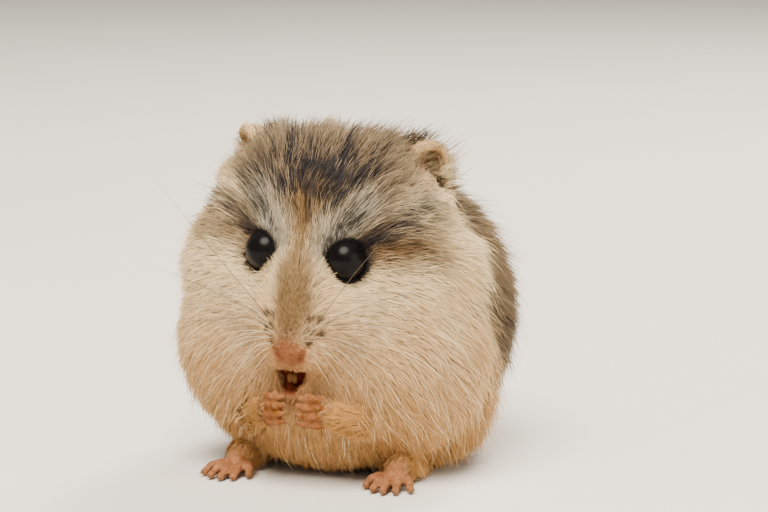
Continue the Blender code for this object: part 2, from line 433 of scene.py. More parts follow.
def streaks(points, width, length, seed=0):
    """Noise drawn out into streaks that run out from between the eyes, as the hair does."""
    local = head_coordinates(points) - (0, -4.5, 0)
    turn = np.arctan2(local[:, 0], local[:, 1])
    reach = np.hypot(local[:, 0], local[:, 1])
    fan = np.stack([turn * 9, reach * width / length, 0.15 * local[:, 2]], 1)
    return waviness(fan, width, seed)


STREAKS = (  # thin dark lines between eye and ear: half width, then both ends on the head's left
    (0.65, (6.5, 2.2, 1.3), (8.8, 3.2, 0.7)),
    (0.62, (9.3, 4.7, 1.1), (11.0, 5.7, 0.0)),
    (0.62, (10.0, 6.1, 1.0), (11.4, 7.7, 0.4)),
    (0.62, (11.4, 7.7, 0.4), (12.1, 9.6, -0.8)),
)


def marks(points):
    """How much of each colour of hair grows at each point, from 0 to 1. The low mark is painted warm bounce
    light, and the lips mark is partly painted shade.
    """
    local = head_coordinates(points)
    sided = left_half(local)
    wide, y, z = sided.T
    height = points[:, 2]

    def bar(half_width, soft, start, end):
        """1 on a bar on the left of the head and on its mirror image."""
        return step(half_width - distance_to_bar(sided, start, end), soft)

    # how far forward the brown back reaches at each height
    back_edge = -5 + 0.42 * np.maximum(height - 19, 0) + 0.9 * np.maximum(19 - height, 0)
    back_edge += 0.8 * waviness(points, 3.0, 8)
    back = step(points[:, 1] - back_edge, 4.5) * step(height - 8.5, 4)
    neck = step(8.5 + 0.5 * points[:, 1] + 4 - np.abs(points[:, 0]), 3) * step(height - 27, 5)
    back = np.maximum(back, neck * step(points[:, 1] + 12, 3))
    crown = step(7.2 + 0.5 * (y - 1.2) - wide, 1.6) * step(y - 1.5, 2.5) * step(z + 3, 3)
    stripe_width = np.interp(y, (-10, -8, -5.5, -3, -0.5, 2, 5), (1.2, 1.8, 2.2, 1.95, 1.25, 1.3, 1.9))
    stripe = step(stripe_width - wide, 0.9) * step(z + 3, 2) * step(6.5 - y, 3)
    right = step(-local[:, 0], 1.0)
    below_ear = bar(1.8, 1.6, (10.4, 6.4, 2.2), (12.6, 8.4, 0.5))
    brow = bar(1.9, 1.2, (2.9, -0.2, 2.9), (6.2, 5.2, 3.6))
    brow = np.maximum(brow, 0.6 * below_ear * (1 - right))
    from_nose = (points - NOSE - (-0.15, -0.6, -0.9)) / (1.05, 1.2, 1.0)
    return {
        "dark": np.maximum(back, crown * (1 - 0.5 * below_ear)) * (1 - brow),
        "right": right,
        "nape": bell(y - 18, 2.5) * step(9 - wide, 3),
        "stripe": stripe * (1 - brow * 0.8),
        "temple": bar(2.2, 1.6, (7.4, 1.4, 1.8), (14.6, 3.9, -1.4)) * (1 - 0.3 * right),
        "streak": np.maximum.reduce([bar(half, 0.3, *ends) for half, *ends in STREAKS]),
        "brow": brow,
        "lash": bar(1.9, 1.6, (9.2, 3.4, 1.7), (13.6, 7.4, -0.4)),
        "crown": crown,
        "fringe": bar(1.3, 1.0, (5.6, 8.6, 2.8), (8.8, 13.6, 2.7)),
        "nose": step(1.9 - np.linalg.norm(from_nose, axis=1), 0.8),
        # painted warm bounce light: hair lower than about 17 mm is turned to cream, as if lit warm from
        # below
        "low": step(17 - height, 12),
        "deep": bell(y - 7.0, 3.2) * step(6.4 - wide, 2.5),
        # partly painted shade: darker hair round the mouth, for its own tan and the shade under the upper
        # lip
        "lips": near(points, LIPS + (0.2, 0, -0.5), 2.9),
        "chin": near(points, LIPS + (-0.1, 0, -2.2), 1.5),
        "ears": both(by_ear, points),
        "fluff": both(ear_fluff, points),
        "hollow": both(ear_hollow, points),
        "pads": near(points, on_head(0, -8.9, -4.9), 4.6),
        "smoke": near(points, on_head(0, -8.8, -1.9), 1.8),
    }


def eye_axis(side):
    """The way the eye looks: outwards, forwards and a little up."""
    return unit(np.array((SIDES[side] * 0.60, -0.77, 0.20)))


def lid_height(ways, side):
    """1 over the eye, -1 under it, 0 at its corners."""
    axis = eye_axis(side)
    return away_from_axis(ways, axis) @ unit(np.array((0, 0, 1)) - axis[2] * axis)


def lid_angle(ways, side):
    """How far from the way the eye looks its lids lie on the ball: least at the top, most at the corners."""
    height = lid_height(ways, side)
    return 79 - 18 * np.maximum(height, 0) ** 1.5 - 3 * np.maximum(-height, 0)


def eye_reach(points, side):
    """Ways from the middle of the eye, distances from it, and degrees outside the opening of the lids."""
    away = points - EYE[side]
    reach = np.linalg.norm(away, axis=1)
    ways = away / reach[:, None]
    angle = np.degrees(np.arccos(np.clip(ways @ eye_axis(side), -1, 1)))
    return ways, reach, angle - lid_angle(ways, side)


def lid_gap(points, side):
    """Distance to the edge of the lids, which counts more over the eye than under it."""
    ways, reach, beyond = eye_reach(points, side)
    along = EYE_RADIUS * np.radians(np.maximum(beyond, 0))
    away = np.hypot(along, np.maximum(reach - EYE_RADIUS - 0.1, 0))
    return away * (1 + 1.3 * np.maximum(lid_height(ways, side), 0))


def eye_rim(points, side):
    """1 on the black rim of the lids and its short black hairs, drawn out to a corner towards the nose."""
    gap = lid_gap(points, side)
    inwards = unit(on_head(SIDES[side] * 1.2, -4.2, 0) - EYE[side])
    start = EYE[side] + inwards * (EYE_RADIUS - 0.2)
    corner = distance_to_bar(points, start, start + inwards * 1.1)
    return np.maximum(step(0.40 - gap, 0.3), step(0.42 - corner, 0.3))


def in_egg(local, middle, radii):
    """1 inside an ellipsoid, with a soft edge."""
    away = (local - middle) / radii
    return np.exp(-((away**2).sum(1) ** 2))


def ear_fluff(points, side):
    """1 where soft white hair grows, at the foot of the ear's bowl and on its outer side."""
    return in_egg(ear_coordinates(points, side), (SIDES[side] * 1.4, -1.5, 2.1), (2.3, 2.5, 2.6))


def ear_hollow(points, side):
    """1 in the hollow of bare skin that leads into the ear."""
    return in_egg(ear_coordinates(points, side), (SIDES[side] * -0.2, -1.5, 3.0), (2.3, 2.3, 3.0))


WHISKER_ROOTS = (  # the dark bristles of the left whisker pad
    (2.1, -7.3, -1.5), (2.7, -7.0, -2.1), (2.2, -8.3, -2.4), (2.9, -8.0, -3.2), (2.1, -9.3, -3.2)
)


def whisker_spots(local):
    """Dark dots where the short bristles of the whisker pads come out."""
    sided = left_half(local)
    return np.maximum.reduce([step(0.42 - distance_to(sided, root), 0.35) for root in WHISKER_ROOTS])


def blend(base, colour, amount):
    """The base colour moved towards the other one, by one amount or by an amount for each point."""
    base = np.asarray(base, float)
    return base + (np.asarray(colour) - base) * np.asarray(amount)[..., None]


def coat_colours(points, random, roots):
    """The colour of the hair at its root, its middle and its tip, from where its middle and its root are."""
    grown = marks(points)
    dark, crown, deep = grown["dark"], grown["crown"], grown["deep"]
    streaky = 0.85 * streaks(points, 0.5, 5.0) + 0.45 * streaks(points, 1.3, 7.0, 2)
    # painted warm bounce light: the tips of the low hair turn cream, though the belly's own hair is white
    tip = blend(WHITE, CREAM, 0.8 * grown["low"])
    tip = blend(tip, CREAM, 0.5 * grown["pads"])
    # partly painted shade: tips round the mouth darkened to tan, for the hair's colour and the shade under
    # the upper lip
    tip = blend(tip, SHADED_LIP_TAN, 0.9 * grown["lips"])
    tip = blend(tip, SHADED_MOUTH_RED, 0.45 * grown["chin"])
    tip = blend(tip, CREAM, 0.3 * step(waviness(points, 4, 6) - 0.2, 1.0))
    root = tip * 0.72
    tip = blend(tip, blend(SANDY, GREY_BROWN, 0.7 * step(streaky + 0.2, 0.8)), dark)
    shallow = np.maximum(0.7 * np.clip(grown["ears"], 0, 1), 0.5 * grown["nape"])
    root = blend(root, SLATE, dark * (1 - shallow))
    tip = blend(tip, GINGER, 0.85 * grown["stripe"])
    root = blend(root, np.array(GINGER) * 0.35, grown["stripe"])
    tip = blend(tip, OCHRE, grown["temple"] * 0.95)
    root = blend(root, np.array(OCHRE) * 0.3, grown["temple"])
    brow = grown["brow"] * (1 - grown["stripe"])
    tip = blend(tip, BROW, brow)
    root = blend(root, np.array(BROW) * 0.25, brow)
    tip = blend(tip, SLATE, grown["smoke"] * (0.38 + 0.5 * step(random - 0.6, 0.3)))
    tip = blend(tip, NOSE_PINK, 0.9 * grown["nose"])
    root = blend(root, NOSE_PINK, 0.9 * grown["nose"])
    # some tips are black, in streaks: a share of those on the dark coat, and flecks round brow and ear
    chance = 0.13 + 0.27 * crown + 0.28 * deep - 0.08 * grown["fringe"]
    chance = chance - 0.05 * step(head_coordinates(points)[:, 1] - 10, 2) - 0.25 * grown["ears"]
    drawn = 0.4 * random + 0.6 * (0.5 - 0.7 * streaky)
    black = dark * step(chance - drawn, 0.08)
    flecks = np.maximum.reduce([brow, 0.8 * grown["stripe"] * crown, grown["lash"]])
    share = 0.51 + 0.04 * grown["lash"] - 0.16 * grown["right"]
    black = np.maximum(black, flecks * step(share - drawn, 0.06))
    black = np.maximum(black, 0.95 * grown["streak"])
    tip = blend(tip, SLATE, 0.94 * black)
    root = blend(root, SLATE, grown["streak"])
    tip = blend(tip, EAR_RIM, 0.9 * grown["hollow"])
    tip = blend(tip, np.array(WHITE) * 0.85, 0.9 * grown["fluff"])
    root = blend(root, EAR_BOWL, 0.9 * np.maximum(grown["hollow"], grown["fluff"]))
    dark = dark * (1 - grown["hollow"]) * (1 - grown["fluff"]) * (1 - shallow)
    middle = root * 0.4 + tip * 0.6
    middle = blend(middle, SLATE, dark * (0.30 + 0.35 * crown + 0.3 * deep) * (1 - 0.8 * grown["stripe"]))
    rim = np.maximum(*(eye_rim(roots, side) for side in SIDES))
    rim = np.maximum(rim, 0.92 * whisker_spots(head_coordinates(roots)))
    return blend(root, LID_BLACK, rim), blend(middle, LID_BLACK, rim), blend(tip, LID_BLACK, rim * 0.9)


NOSTRIL = ((1.75, -10.0, -3.75), (1.15, -10.6, -4.9))  # both ends of the left one's slit


def nostril(local, width):
    """1 in the slit of each nostril."""
    return bell(distance_to_bar(left_half(local), *NOSTRIL), width)


def skin_colours(points, normals, part):
    """The colour of the bare skin and of the short flat fur on it."""
    root, middle, tip = coat_colours(points, np.full(len(points), 0.3), points)
    colour = 0.25 * root + 0.4 * middle + 0.35 * tip
    colour = blend(colour, SKIN_PINK, 0.15)
    for side in SIDES:
        # black skin round each eye: the lids' own dark rim, and painted shade where the skin shows between
        # the hairs
        rim_and_gap_shade = 0.95 * step(0.85 - lid_gap(points, side), 0.4)
        colour = blend(colour, LID_BLACK, np.maximum(rim_and_gap_shade, eye_rim(points, side)))
        naked = 0.9 * ear_hollow(points, side) * (1 - 0.7 * ear_fluff(points, side))
        colour = blend(colour, EAR_BOWL, naked)
    # painted shade: dark red inside the open mouth and in the nostril slits, where shade falls
    colour = blend(colour, SHADED_MOUTH_RED, in_mouth(points))
    colour = blend(colour, SHADED_MOUTH_RED, 0.9 * nostril(head_coordinates(points), 0.42))
    for side in SIDES:
        own, bowl = ear_bowl(points, normals, side)
        colour = blend(colour, EAR_RIM, own * (part == EAR) * 0.9)
        colour = blend(colour, EAR_BOWL, own * bowl * (part == EAR) * 0.9)
    # partly painted shade and warm bounce light: bare hands and feet turned to a dark orange-brown
    limbs = np.isin(part, (PAW, FOOT)) * (1 - 0.85 * furry(points, part))
    rosy = 0.15 + 0.22 * (part == FOOT) + 0.2 * waviness(points, 0.7, 3)
    colour = blend(colour, blend(SHADED_PAW_TAN, SKIN_PINK, rosy), limbs)
    return blend(colour, LID_BLACK, (part == LID) * 1.0)


def furry(points, part):
    """1 on the limbs where the fur is thick and long, at the wrists and heels, 0 on hands and toes."""
    wrist = step(np.abs(points[:, 0]) - 4.1, 0.9)
    heel = step(points[:, 1] + 12.4, 1.5)
    return np.where(part == PAW, wrist, heel)


def ear_bowl(points, normals, side):
    """Which points belong to this ear, and how far each lies in its bowl."""
    local = ear_coordinates(points, side)
    facing = -(normals @ EAR_TURNS[side])[:, 1]
    own = np.linalg.norm(local - (0, 0, 3), axis=1) < 7
    ahead = step(local[:, 1] + 0.9, 0.5)
    return own, step(facing - 0.1, 0.5) * step(6.3 - local[:, 2], 1.4) * ahead


def in_mouth(points):
    """1 inside the open mouth, which is wide under the upper lip and narrows to the lower one."""
    x, y, z = (points - LIPS).T
    half = 2.05 - np.clip((1.1 - z) / 2.5, 0, 1)
    ahead = step(3.6 - np.abs(y), 0.8)
    return step(half - np.abs(x), 0.3) * step(1.15 - z, 0.25) * step(z + 1.6, 0.3) * ahead


# ---------------------------------------------------------------- the skin


def flesh_copies():
    """The solids of the flesh and the eyes, grown until they close the cuts between them."""
    copies = []
    for name in [*FLESH, "eye_left", "eye_right"]:
        if name.startswith("ear"):
            continue
        mesh = frame["nodes"][name].data.copy()
        mesh.materials.clear()
        mesh.transform(Matrix.Scale(1 / MM, 4))
        copy = new_piece("flesh", mesh)
        if name.startswith("foreleg"):
            cut_front(copy, WRIST_Y)
        if name.startswith("hindleg"):
            cut_front(copy, ANKLE_Y)
        copies.append(copy)
    copies += [ball((0, 0.2, -0.9), (2.8, 2.0, 1.8), EAR_FRAMES[side]) for side in SIDES]
    whole = join(copies, "skin")
    edit()
    bpy.ops.mesh.remove_doubles(threshold=0.001)
    stop_editing()
    apply_modifier(whole, "DISPLACE", strength=SWELL, mid_level=0)
    apply_modifier(whole, "REMESH", mode="VOXEL", voxel_size=SKIN_VOXEL)
    apply_modifier(whole, "SMOOTH", factor=0.5, iterations=8)
    keep_outer_shell(whole)
    return whole


def keep_outer_shell(obj):
    """Deletes what isn't joined to the first point, such as shells of trapped air inside the body."""
    edit("DESELECT")
    stop_editing()
    obj.data.vertices[0].select = True
    bpy.ops.object.mode_set(mode="EDIT")
    bpy.ops.mesh.select_linked()
    bpy.ops.mesh.select_all(action="INVERT")
    bpy.ops.mesh.delete(type="VERT")
    stop_editing()


def cut_front(obj, y):
    """Takes off all that lies ahead of y, and closes the cut."""
    select_only(obj)
    edit()
    bpy.ops.mesh.remove_doubles(threshold=0.001)
    bpy.ops.mesh.bisect(plane_co=(0, y, 0), plane_no=(0, 1, 0), use_fill=True, clear_inner=True)
    stop_editing()


def refine(obj, inside):
    """Cuts each face whose middle is inside the region into four, and rounds the new points."""
    faces = obj.data.polygons
    chosen = inside(read(faces, "center", 3).astype(float))
    select_only(obj)
    bpy.ops.object.mode_set(mode="EDIT")
    bpy.ops.mesh.select_mode(type="FACE")
    bpy.ops.mesh.select_all(action="DESELECT")
    stop_editing()
    faces.foreach_set("select", chosen)
    bpy.ops.object.mode_set(mode="EDIT")
    bpy.ops.mesh.subdivide(number_cuts=1)
    bpy.ops.mesh.vertices_smooth(factor=0.5, repeat=2)
    stop_editing()


def face_region(points):
    """The muzzle and the skin round the eyes."""
    muzzle = distance_to(points, NOSE + (0, 1.5, -1)) < 6.5
    eyes = [distance_to(points, EYE[side]) < 4.9 for side in SIDES]
    return muzzle | eyes[0] | eyes[1]


def muzzle_region(points):
    """Nose and mouth, which have the finest shapes."""
    return distance_to(points, NOSE + (-0.3, 0.6, -2.2)) < 4.2


def lid_region(points):
    """The stretched faces between each eyeball and the coat's skin round it."""
    region = np.zeros(len(points), bool)
    for side in SIDES:
        _, reach, beyond = eye_reach(points, side)
        region |= (reach > EYE_RADIUS - 0.2) & (reach < EYE_RADIUS + 1.6) & (beyond < 6)
    return region


def wrap_eye(points, side):
    """Draws the skin round the eyeball as a lid, and takes it inside the ball within the opening."""
    ways, reach, beyond = eye_reach(points, side)
    lid = EYE_RADIUS + 0.08
    sunk = EYE_RADIUS - 0.45
    wanted = lid + (sunk - lid) * step(-beyond - 2, 5)
    inside = (beyond < 0) & (reach < EYE_RADIUS + 1.6) | (reach < lid)
    return np.where(inside[:, None], EYE[side] + ways * wanted[:, None], points)


def shape_muzzle(points, normals):
    """Nostrils, the groove below the nose, and the mouth drawn to the middle of the lips."""
    local = head_coordinates(points)
    sunk = 0.32 * nostril(local, 0.22)
    groove = distance_to_bar(local, (0, -10.7, -4.6), (0, -10.2, -6.6))
    sunk += 0.30 * bell(groove, 0.26)
    moved = points - normals * sunk[:, None]
    x, y, z = (points - LIPS).T
    lobes = bell(np.abs(x) - 1.35, 1.1) * bell(z - 1.75, 0.55) * (y < 2.5)
    moved[:, 1] -= 0.55 * lobes
    moved[:, 2] -= 0.25 * lobes
    moved[:, 1] += 1.3 * in_mouth(points)
    return moved


def body_skin():
    """The animal's own surface under the coat, with its mouth, nostrils, ear hollows and eye openings."""
    skin = flesh_copies()
    refine(skin, face_region)
    refine(skin, muzzle_region)
    mesh = skin.data
    points, normals = points_of(mesh), points_of(mesh, "normal")
    points = points - normals * (SWELL + coat_depth(points))[:, None]
    points = shape_muzzle(points, normals)
    for side in SIDES:
        points = points - (1.9 * ear_hollow(points, side))[:, None] * EAR_TURNS[side][:, 2]
        points = wrap_eye(points, side)
    set_points(mesh, points)
    apply_modifier(skin, "SMOOTH", factor=0.3, iterations=2)
    refine(skin, lid_region)
    return mark(skin, BODY)


def lid(side):
    """The dark rim of the eyelids: a ring on the eyeball, drawn out to a corner at each end."""
    ring = add(
        bpy.ops.mesh.primitive_torus_add,
        major_segments=64, minor_segments=8, major_radius=1, minor_radius=0.06,
    )
    points = points_of(ring.data)
    turned = np.array(Vector(eye_axis(side)).to_track_quat("Z", "Y").to_matrix())
    across = np.linalg.norm(points[:, :2], axis=1)
    turn = np.arctan2(points[:, 1], points[:, 0])
    flat = np.stack([np.cos(turn), np.sin(turn), np.zeros_like(turn)], 1)
    angle = np.radians(lid_angle(flat @ turned.T, side)) + (across - 1) * 1.2
    radius = (EYE_RADIUS + 0.02 + points[:, 2] * 2.0)[:, None]
    shaped = radius * (flat * np.sin(angle)[:, None] + np.cos(angle)[:, None] * (0, 0, 1))
    set_points(ring.data, shaped @ turned.T + EYE[side])
    return mark(ring, LID)


def ear(side):
    """A thin cup of skin with a rolled rim, thickest at the top, open to the front and the side."""
    shell = ball((0, 0, 3.0), (3.1, 2.15, 4.4), segments=48)
    edit()
    bpy.ops.mesh.bisect(plane_co=(0, -0.55, 3.0), plane_no=(0, 1, 0.14), clear_inner=True)
    stop_editing()
    apply_modifier(shell, "SOLIDIFY", thickness=0.5, offset=-1)
    turns = np.radians(np.linspace(-125, 125, 21))
    rim = [
        Vector((2.8 * math.sin(t), -0.62 - 0.14 * 4.0 * math.cos(t), 3 + 4.0 * math.cos(t)))
        for t in turns
    ]
    thick = [0.27 + 0.30 * math.exp(-(((-SIDES[side] * t - 0.3) / 0.8) ** 2)) for t in turns]
    rolls = [limb(rim[i], rim[i + 1], thick[i], thick[i + 1], 16) for i in range(len(rim) - 1)]
    cup = melt([shell, *rolls], "ear", 0.17, 3)
    points = points_of(cup.data) * 0.94
    points[:, 1] += 0.14 * np.sin(points[:, 0] * 2.4 + 0.6) * step(-points[:, 1], 2)
    set_points(cup.data, points)
    cup.data.transform(EAR_FRAMES[side])
    return mark(cup, EAR)


def finger(side, i):
    """Knuckle, middle joint and tip of one of the four curled fingers."""
    s = SIDES[side]
    knuckle = Vector((s * 2.65, -19.75 - 0.2 * math.sin(i), 7.8 + 0.95 * i))
    joint = knuckle + Vector((-s, -0.62, 0.12))
    return knuckle, joint, joint + Vector((-s * 0.85, 0.12, 0.2))


def forepaw(side):
    """A small hand with four curled fingers and a stub of a thumb, held at the mouth."""
    s = SIDES[side]
    masses = [
        ball((s * 3.3, -18.9, 9.0), (1.3, 1.1, 1.6)),
        ball((s * 2.3, -19.6, 9.2), (1.05, 0.62, 1.8)),
        limb((s * 5.9, -15.6, 7.6), (s * 3.5, -18.7, 8.8), 1.75, 1.1),
        limb((s * 2.9, -19.7, 10.4), (s * 1.9, -20.0, 11.2), 0.40, 0.30),
    ]
    for i in range(4):
        knuckle, joint, tip = finger(side, i)
        masses.append(limb(knuckle + Vector((s * 0.6, 0.5, 0)), knuckle, 0.5, 0.48))
        masses.append(limb(knuckle, (knuckle + joint) / 2, 0.46, 0.39))
        masses.append(limb((knuckle + joint) / 2, joint, 0.39, 0.41))
        masses.append(limb(joint, tip, 0.40, 0.30))
    return mark(melt(masses, "forepaw", DETAIL_VOXEL, 2), PAW)


def toe(side, t):
    """Root, knuckle and tip of one of the five toes, counted from -2 to 2 across the foot."""
    s = SIDES[side]
    reach = 3.5 - 0.40 * t * t * (1.2 if t * s < 0 else 1)
    x = s * FOOT_X
    root = Vector((x + 0.8 * t, -13.6, 1.1))
    knuckle = Vector((x + 1.12 * t + 0.2 * s, -14.0 - 0.5 * reach, 1.1))
    return root, knuckle, Vector((x + 1.32 * t + 0.3 * s, -14.0 - reach, 0.56))


def hindfoot(side):
    """A flat foot with five toes on the floor."""
    x = SIDES[side] * FOOT_X
    masses = [
        limb((x, -6.0, 2.0), (x, -11.2, 1.75), 1.9, 1.75),
        limb((x, -10.6, 1.7), (x + SIDES[side] * 0.2, -13.4, 1.25), 1.7, 1.25),
    ]
    for t in range(-2, 3):
        root, knuckle, tip = toe(side, t)
        masses.append(limb(root, knuckle, 0.62, 0.50))
        masses.append(limb(knuckle, tip, 0.50, 0.40))
        masses.append(ball(tip, (0.46, 0.52, 0.46), segments=16))
    foot = melt(masses, "hindfoot", 0.19, 2)
    points = points_of(foot.data)
    points[:, 2] = np.maximum(points[:, 2], 0.03)
    set_points(foot.data, points)
    return mark(foot, FOOT)


def make_skin():
    """The whole skin in one piece, with its colours, and unwrapped for the coat's map."""
    islands = [body_skin()]
    for side in SIDES:
        islands += [lid(side), ear(side), forepaw(side), hindfoot(side)]
    skin = join(islands, "skin")
    edit()
    bpy.ops.uv.smart_project(angle_limit=math.radians(66), island_margin=0.001)
    stop_editing()
    bpy.ops.object.shade_smooth()
    mesh = skin.data
    points, normals = points_of(mesh), points_of(mesh, "normal")
    part = np.zeros(len(points), int)
    sizes = read(mesh.polygons, "loop_total", kind=np.int32)
    part[read(mesh.loops, "vertex_index", kind=np.int32)] = np.repeat(parts_of(mesh), sizes)
    paint(mesh, skin_colours(points, normals, part))
    return skin


def paint(mesh, colours):
    """Keeps a colour for each point as the attribute that the materials read."""
    rgba = np.ones((len(colours), 4), np.float32)
    rgba[:, :3] = np.clip(colours, 0.002, 0.95)
    layer = mesh.color_attributes.new("marking", "FLOAT_COLOR", "POINT")
    layer.data.foreach_set("color", rgba.ravel())


# ---------------------------------------------------------------- the coat


class Ground:
    """The skin's triangles, as what the hair grows on."""

    def __init__(self, mesh):
        mesh.calc_loop_triangles()
        triangles = mesh.loop_triangles
        self.corners = read(triangles, "vertices", 3, np.int32)
        self.part = parts_of(mesh)[read(triangles, "polygon_index", kind=np.int32)]
        self.points, self.normals = points_of(mesh), points_of(mesh, "normal")
        self.uv = read(mesh.uv_layers.active.data, "uv", 2)[read(triangles, "loops", 3, np.int32)]
        places = self.points[self.corners]
        self.middle = places.mean(axis=1)
        cross = np.cross(places[:, 1] - places[:, 0], places[:, 2] - places[:, 0])
        self.area = np.linalg.norm(cross, axis=1) / 2
        # the triangles in order of their places, so that roots drawn evenly lie evenly
        cells = np.floor(self.middle / 0.9).astype(int)
        self.order = np.lexsort((cells[:, 0], cells[:, 1], cells[:, 2]))

    def roots(self, density):
        """Evenly strewn roots, as many to the square millimetre as the density says."""
        weight = np.cumsum((self.area * density)[self.order])
        count = int(weight[-1])
        at = (np.arange(count) + rng.random(count)) * (weight[-1] / count)
        chosen = self.order[np.minimum(np.searchsorted(weight, at), len(weight) - 1)]
        a, b = np.sqrt(rng.random(count)), rng.random(count)
        share = np.stack([1 - a, a * (1 - b), a * b], 1)
        corner = self.corners[chosen]
        place = (self.points[corner] * share[..., None]).sum(1)
        normal = unit((self.normals[corner] * share[..., None]).sum(1))
        uv = (self.uv[chosen] * share[..., None]).sum(1)
        return place, normal, uv, self.part[chosen]


def strand_faces(count, rings):
    """Faces of closed strands, each with a capped root, three-sided rings and a point."""
    faces = [(2, 1, 0)]
    for ring in range(rings - 1):
        for k in range(3):
            a, b = 3 * ring + k, 3 * ring + (k + 1) % 3
            faces += [(a, b, b + 3), (a, b + 3, a + 3)]
    tip, last = 3 * rings, 3 * (rings - 1)
    faces += [(last + k, last + (k + 1) % 3, tip) for k in range(3)]
    first_points = np.arange(count) * (tip + 1)
    return (np.array(faces)[None] + first_points[:, None, None]).reshape(-1, 3)


def grow(tufts, strands, rings):
    """Points, normals, colours and map places of every strand, and the faces between them."""
    count = len(tufts["place"])
    index = np.repeat(np.arange(count), strands)
    total = len(index)
    size = 3 * rings + 1
    normal, lie = tufts["normal"][index], tufts["lie"][index]
    spread = tufts["spread"][index] * np.sqrt(rng.random(total))
    bearing = rng.uniform(0, 2 * math.pi, total)
    off_side, off_lie = spread * np.cos(bearing), spread * np.sin(bearing)
    length = tufts["length"][index] * rng.uniform(0.72, 1.14, total)
    start = tufts["lift"][index] + rng.normal(0, 0.10, total)
    end = tufts["end_lift"][index] + rng.normal(0, 0.06, total)
    bend = tufts["bend"][index] + rng.normal(0, 0.16, total)
    stray = rng.normal(0, 0.09, total)
    lie = unit(lie + np.cross(normal, lie) * stray[:, None])
    across = unit(np.cross(normal, lie))
    width = tufts["width"][index] * rng.uniform(0.75, 1.25, total)
    spine = tufts["place"][index] - normal * (0.03 + 0.025 * length)[:, None]
    levels = np.linspace(0, 1, rings + 1)
    widths = np.interp(levels, (0, 0.3, 0.7, 1), (0.75, 1.0, 0.72, 0.0))
    points, shading = np.empty((total, size, 3)), np.empty((total, size, 3))
    for k, level in enumerate(levels):
        if k:
            half_way = (level + levels[k - 1]) / 2
            rise, turn = start + (end - start) * half_way, bend * half_way
            flat = lie * np.cos(turn)[:, None] + across * np.sin(turn)[:, None]
            way = flat * np.cos(rise)[:, None] + normal * np.sin(rise)[:, None]
            spine = spine + way * (length * (level - levels[k - 1]))[:, None]
        gather = off_side * (1 - 0.8 * level)
        centre = spine + across * gather[:, None] + lie * (off_lie * (1 - 0.4 * level))[:, None]
        if k == rings:
            points[:, -1] = centre
            shading[:, -1] = normal
            break
        rise = start + (end - start) * level
        over = unit(normal * np.cos(rise)[:, None] - lie * np.sin(rise)[:, None])
        half = (width * widths[k] / 2)[:, None]
        for corner, (up, out) in enumerate(((0.7, 0), (-0.35, -1), (-0.35, 1))):
            away = over * up + across * out
            points[:, 3 * k + corner] = centre + away * half
            shading[:, 3 * k + corner] = unit(normal * SOFTNESS + unit(away) * (1 - SOFTNESS))
    points = keep_in_box(points)
    tone = np.exp(rng.normal(0, 0.08, total))[:, None]
    tone_tuft = np.exp(rng.normal(0, 1, count) * tufts["contrast"])[index][:, None]
    colours, uv = np.empty((total, size, 3)), np.empty((total, size, 2))
    column = np.tile((np.arange(strands) + 0.5) / strands - 0.5, count)
    low, middle, high = (tufts[name][index] for name in ("root", "middle", "tip"))
    for k, level in enumerate(levels):
        lower, upper = low + (middle - low) * level * 2, middle + (high - middle) * (level * 2 - 1)
        mixed = lower if level < 0.5 else upper
        spot = slice(3 * k, 3 * k + 3) if k < rings else slice(3 * rings, size)
        colours[:, spot] = (mixed * tone * tone_tuft)[:, None, :]
        for corner, shift in enumerate((0, -0.4, 0.4) if k < rings else (0,)):
            uv[:, 3 * k + corner, 0] = tufts["uv"][index, 0] + PATCH * (column + shift / strands)
            uv[:, 3 * k + corner, 1] = tufts["uv"][index, 1] + PATCH * (level - 0.5)
    rows = (points.reshape(-1, 3), shading.reshape(-1, 3), colours.reshape(-1, 3), uv.reshape(-1, 2))
    return *rows, strand_faces(total, rings)


def mesh_piece(name, points, shading, colours, uv, faces):
    mesh = bpy.data.meshes.new(name)
    mesh.vertices.add(len(points))
    mesh.loops.add(faces.size)
    mesh.polygons.add(len(faces))
    mesh.vertices.foreach_set("co", (points * MM).astype(np.float32).ravel())
    mesh.loops.foreach_set("vertex_index", faces.astype(np.int32).ravel())
    mesh.polygons.foreach_set("loop_start", np.arange(0, faces.size, 3, dtype=np.int32))
    mesh.polygons.foreach_set("use_smooth", np.ones(len(faces), bool))
    mesh.update(calc_edges=True)
    layer = mesh.uv_layers.new(name="OFBake")
    layer.data.foreach_set("uv", uv[faces.ravel()].astype(np.float32).ravel())
    paint(mesh, colours)
    mesh.normals_split_custom_set_from_vertices(shading.astype(np.float32))
    return new_piece(name, mesh)


def dress(place, normal, uv, part):
    """Everything that a tuft needs to grow at its root."""
    tufts = {"place": place, "normal": normal, "uv": uv, "part": part}
    tufts["lie"] = lie = coat_lie(place, normal)
    tufts["length"] = coat_length(place)
    tufts["lift"] = coat_lift(place) + 0.08 * waviness(place, 2.0, 7)
    tufts["end_lift"] = tufts["lift"] * 0.45 - 0.22
    for side in SIDES:
        by_lid = bell(lid_gap(place, side), 0.9)
        tufts["lift"] += 0.25 * by_lid
        tufts["end_lift"] += 0.25 * by_lid
    down = -np.cross(normal, lie)[:, 2]
    tufts["bend"] = 0.55 * down * step(distance_to(place, NOSE) - 3, 5) + 0.35 * waviness(place, 1.8, 9)
    tufts["spread"] = np.clip(0.09 * tufts["length"] + 0.05, 0.08, 0.36)
    tufts["width"] = np.clip(0.045 + 0.014 * tufts["length"], 0.05, 0.108)
    random = rng.random(len(place))
    seen = place + lie * (0.5 * tufts["length"])[:, None] + rng.normal(0, 0.25, place.shape)
    tufts["root"], tufts["middle"], tufts["tip"] = coat_colours(seen, random, place)
    tufts["contrast"] = 0.07 + 0.14 * marks(seen)["dark"]
    return tufts


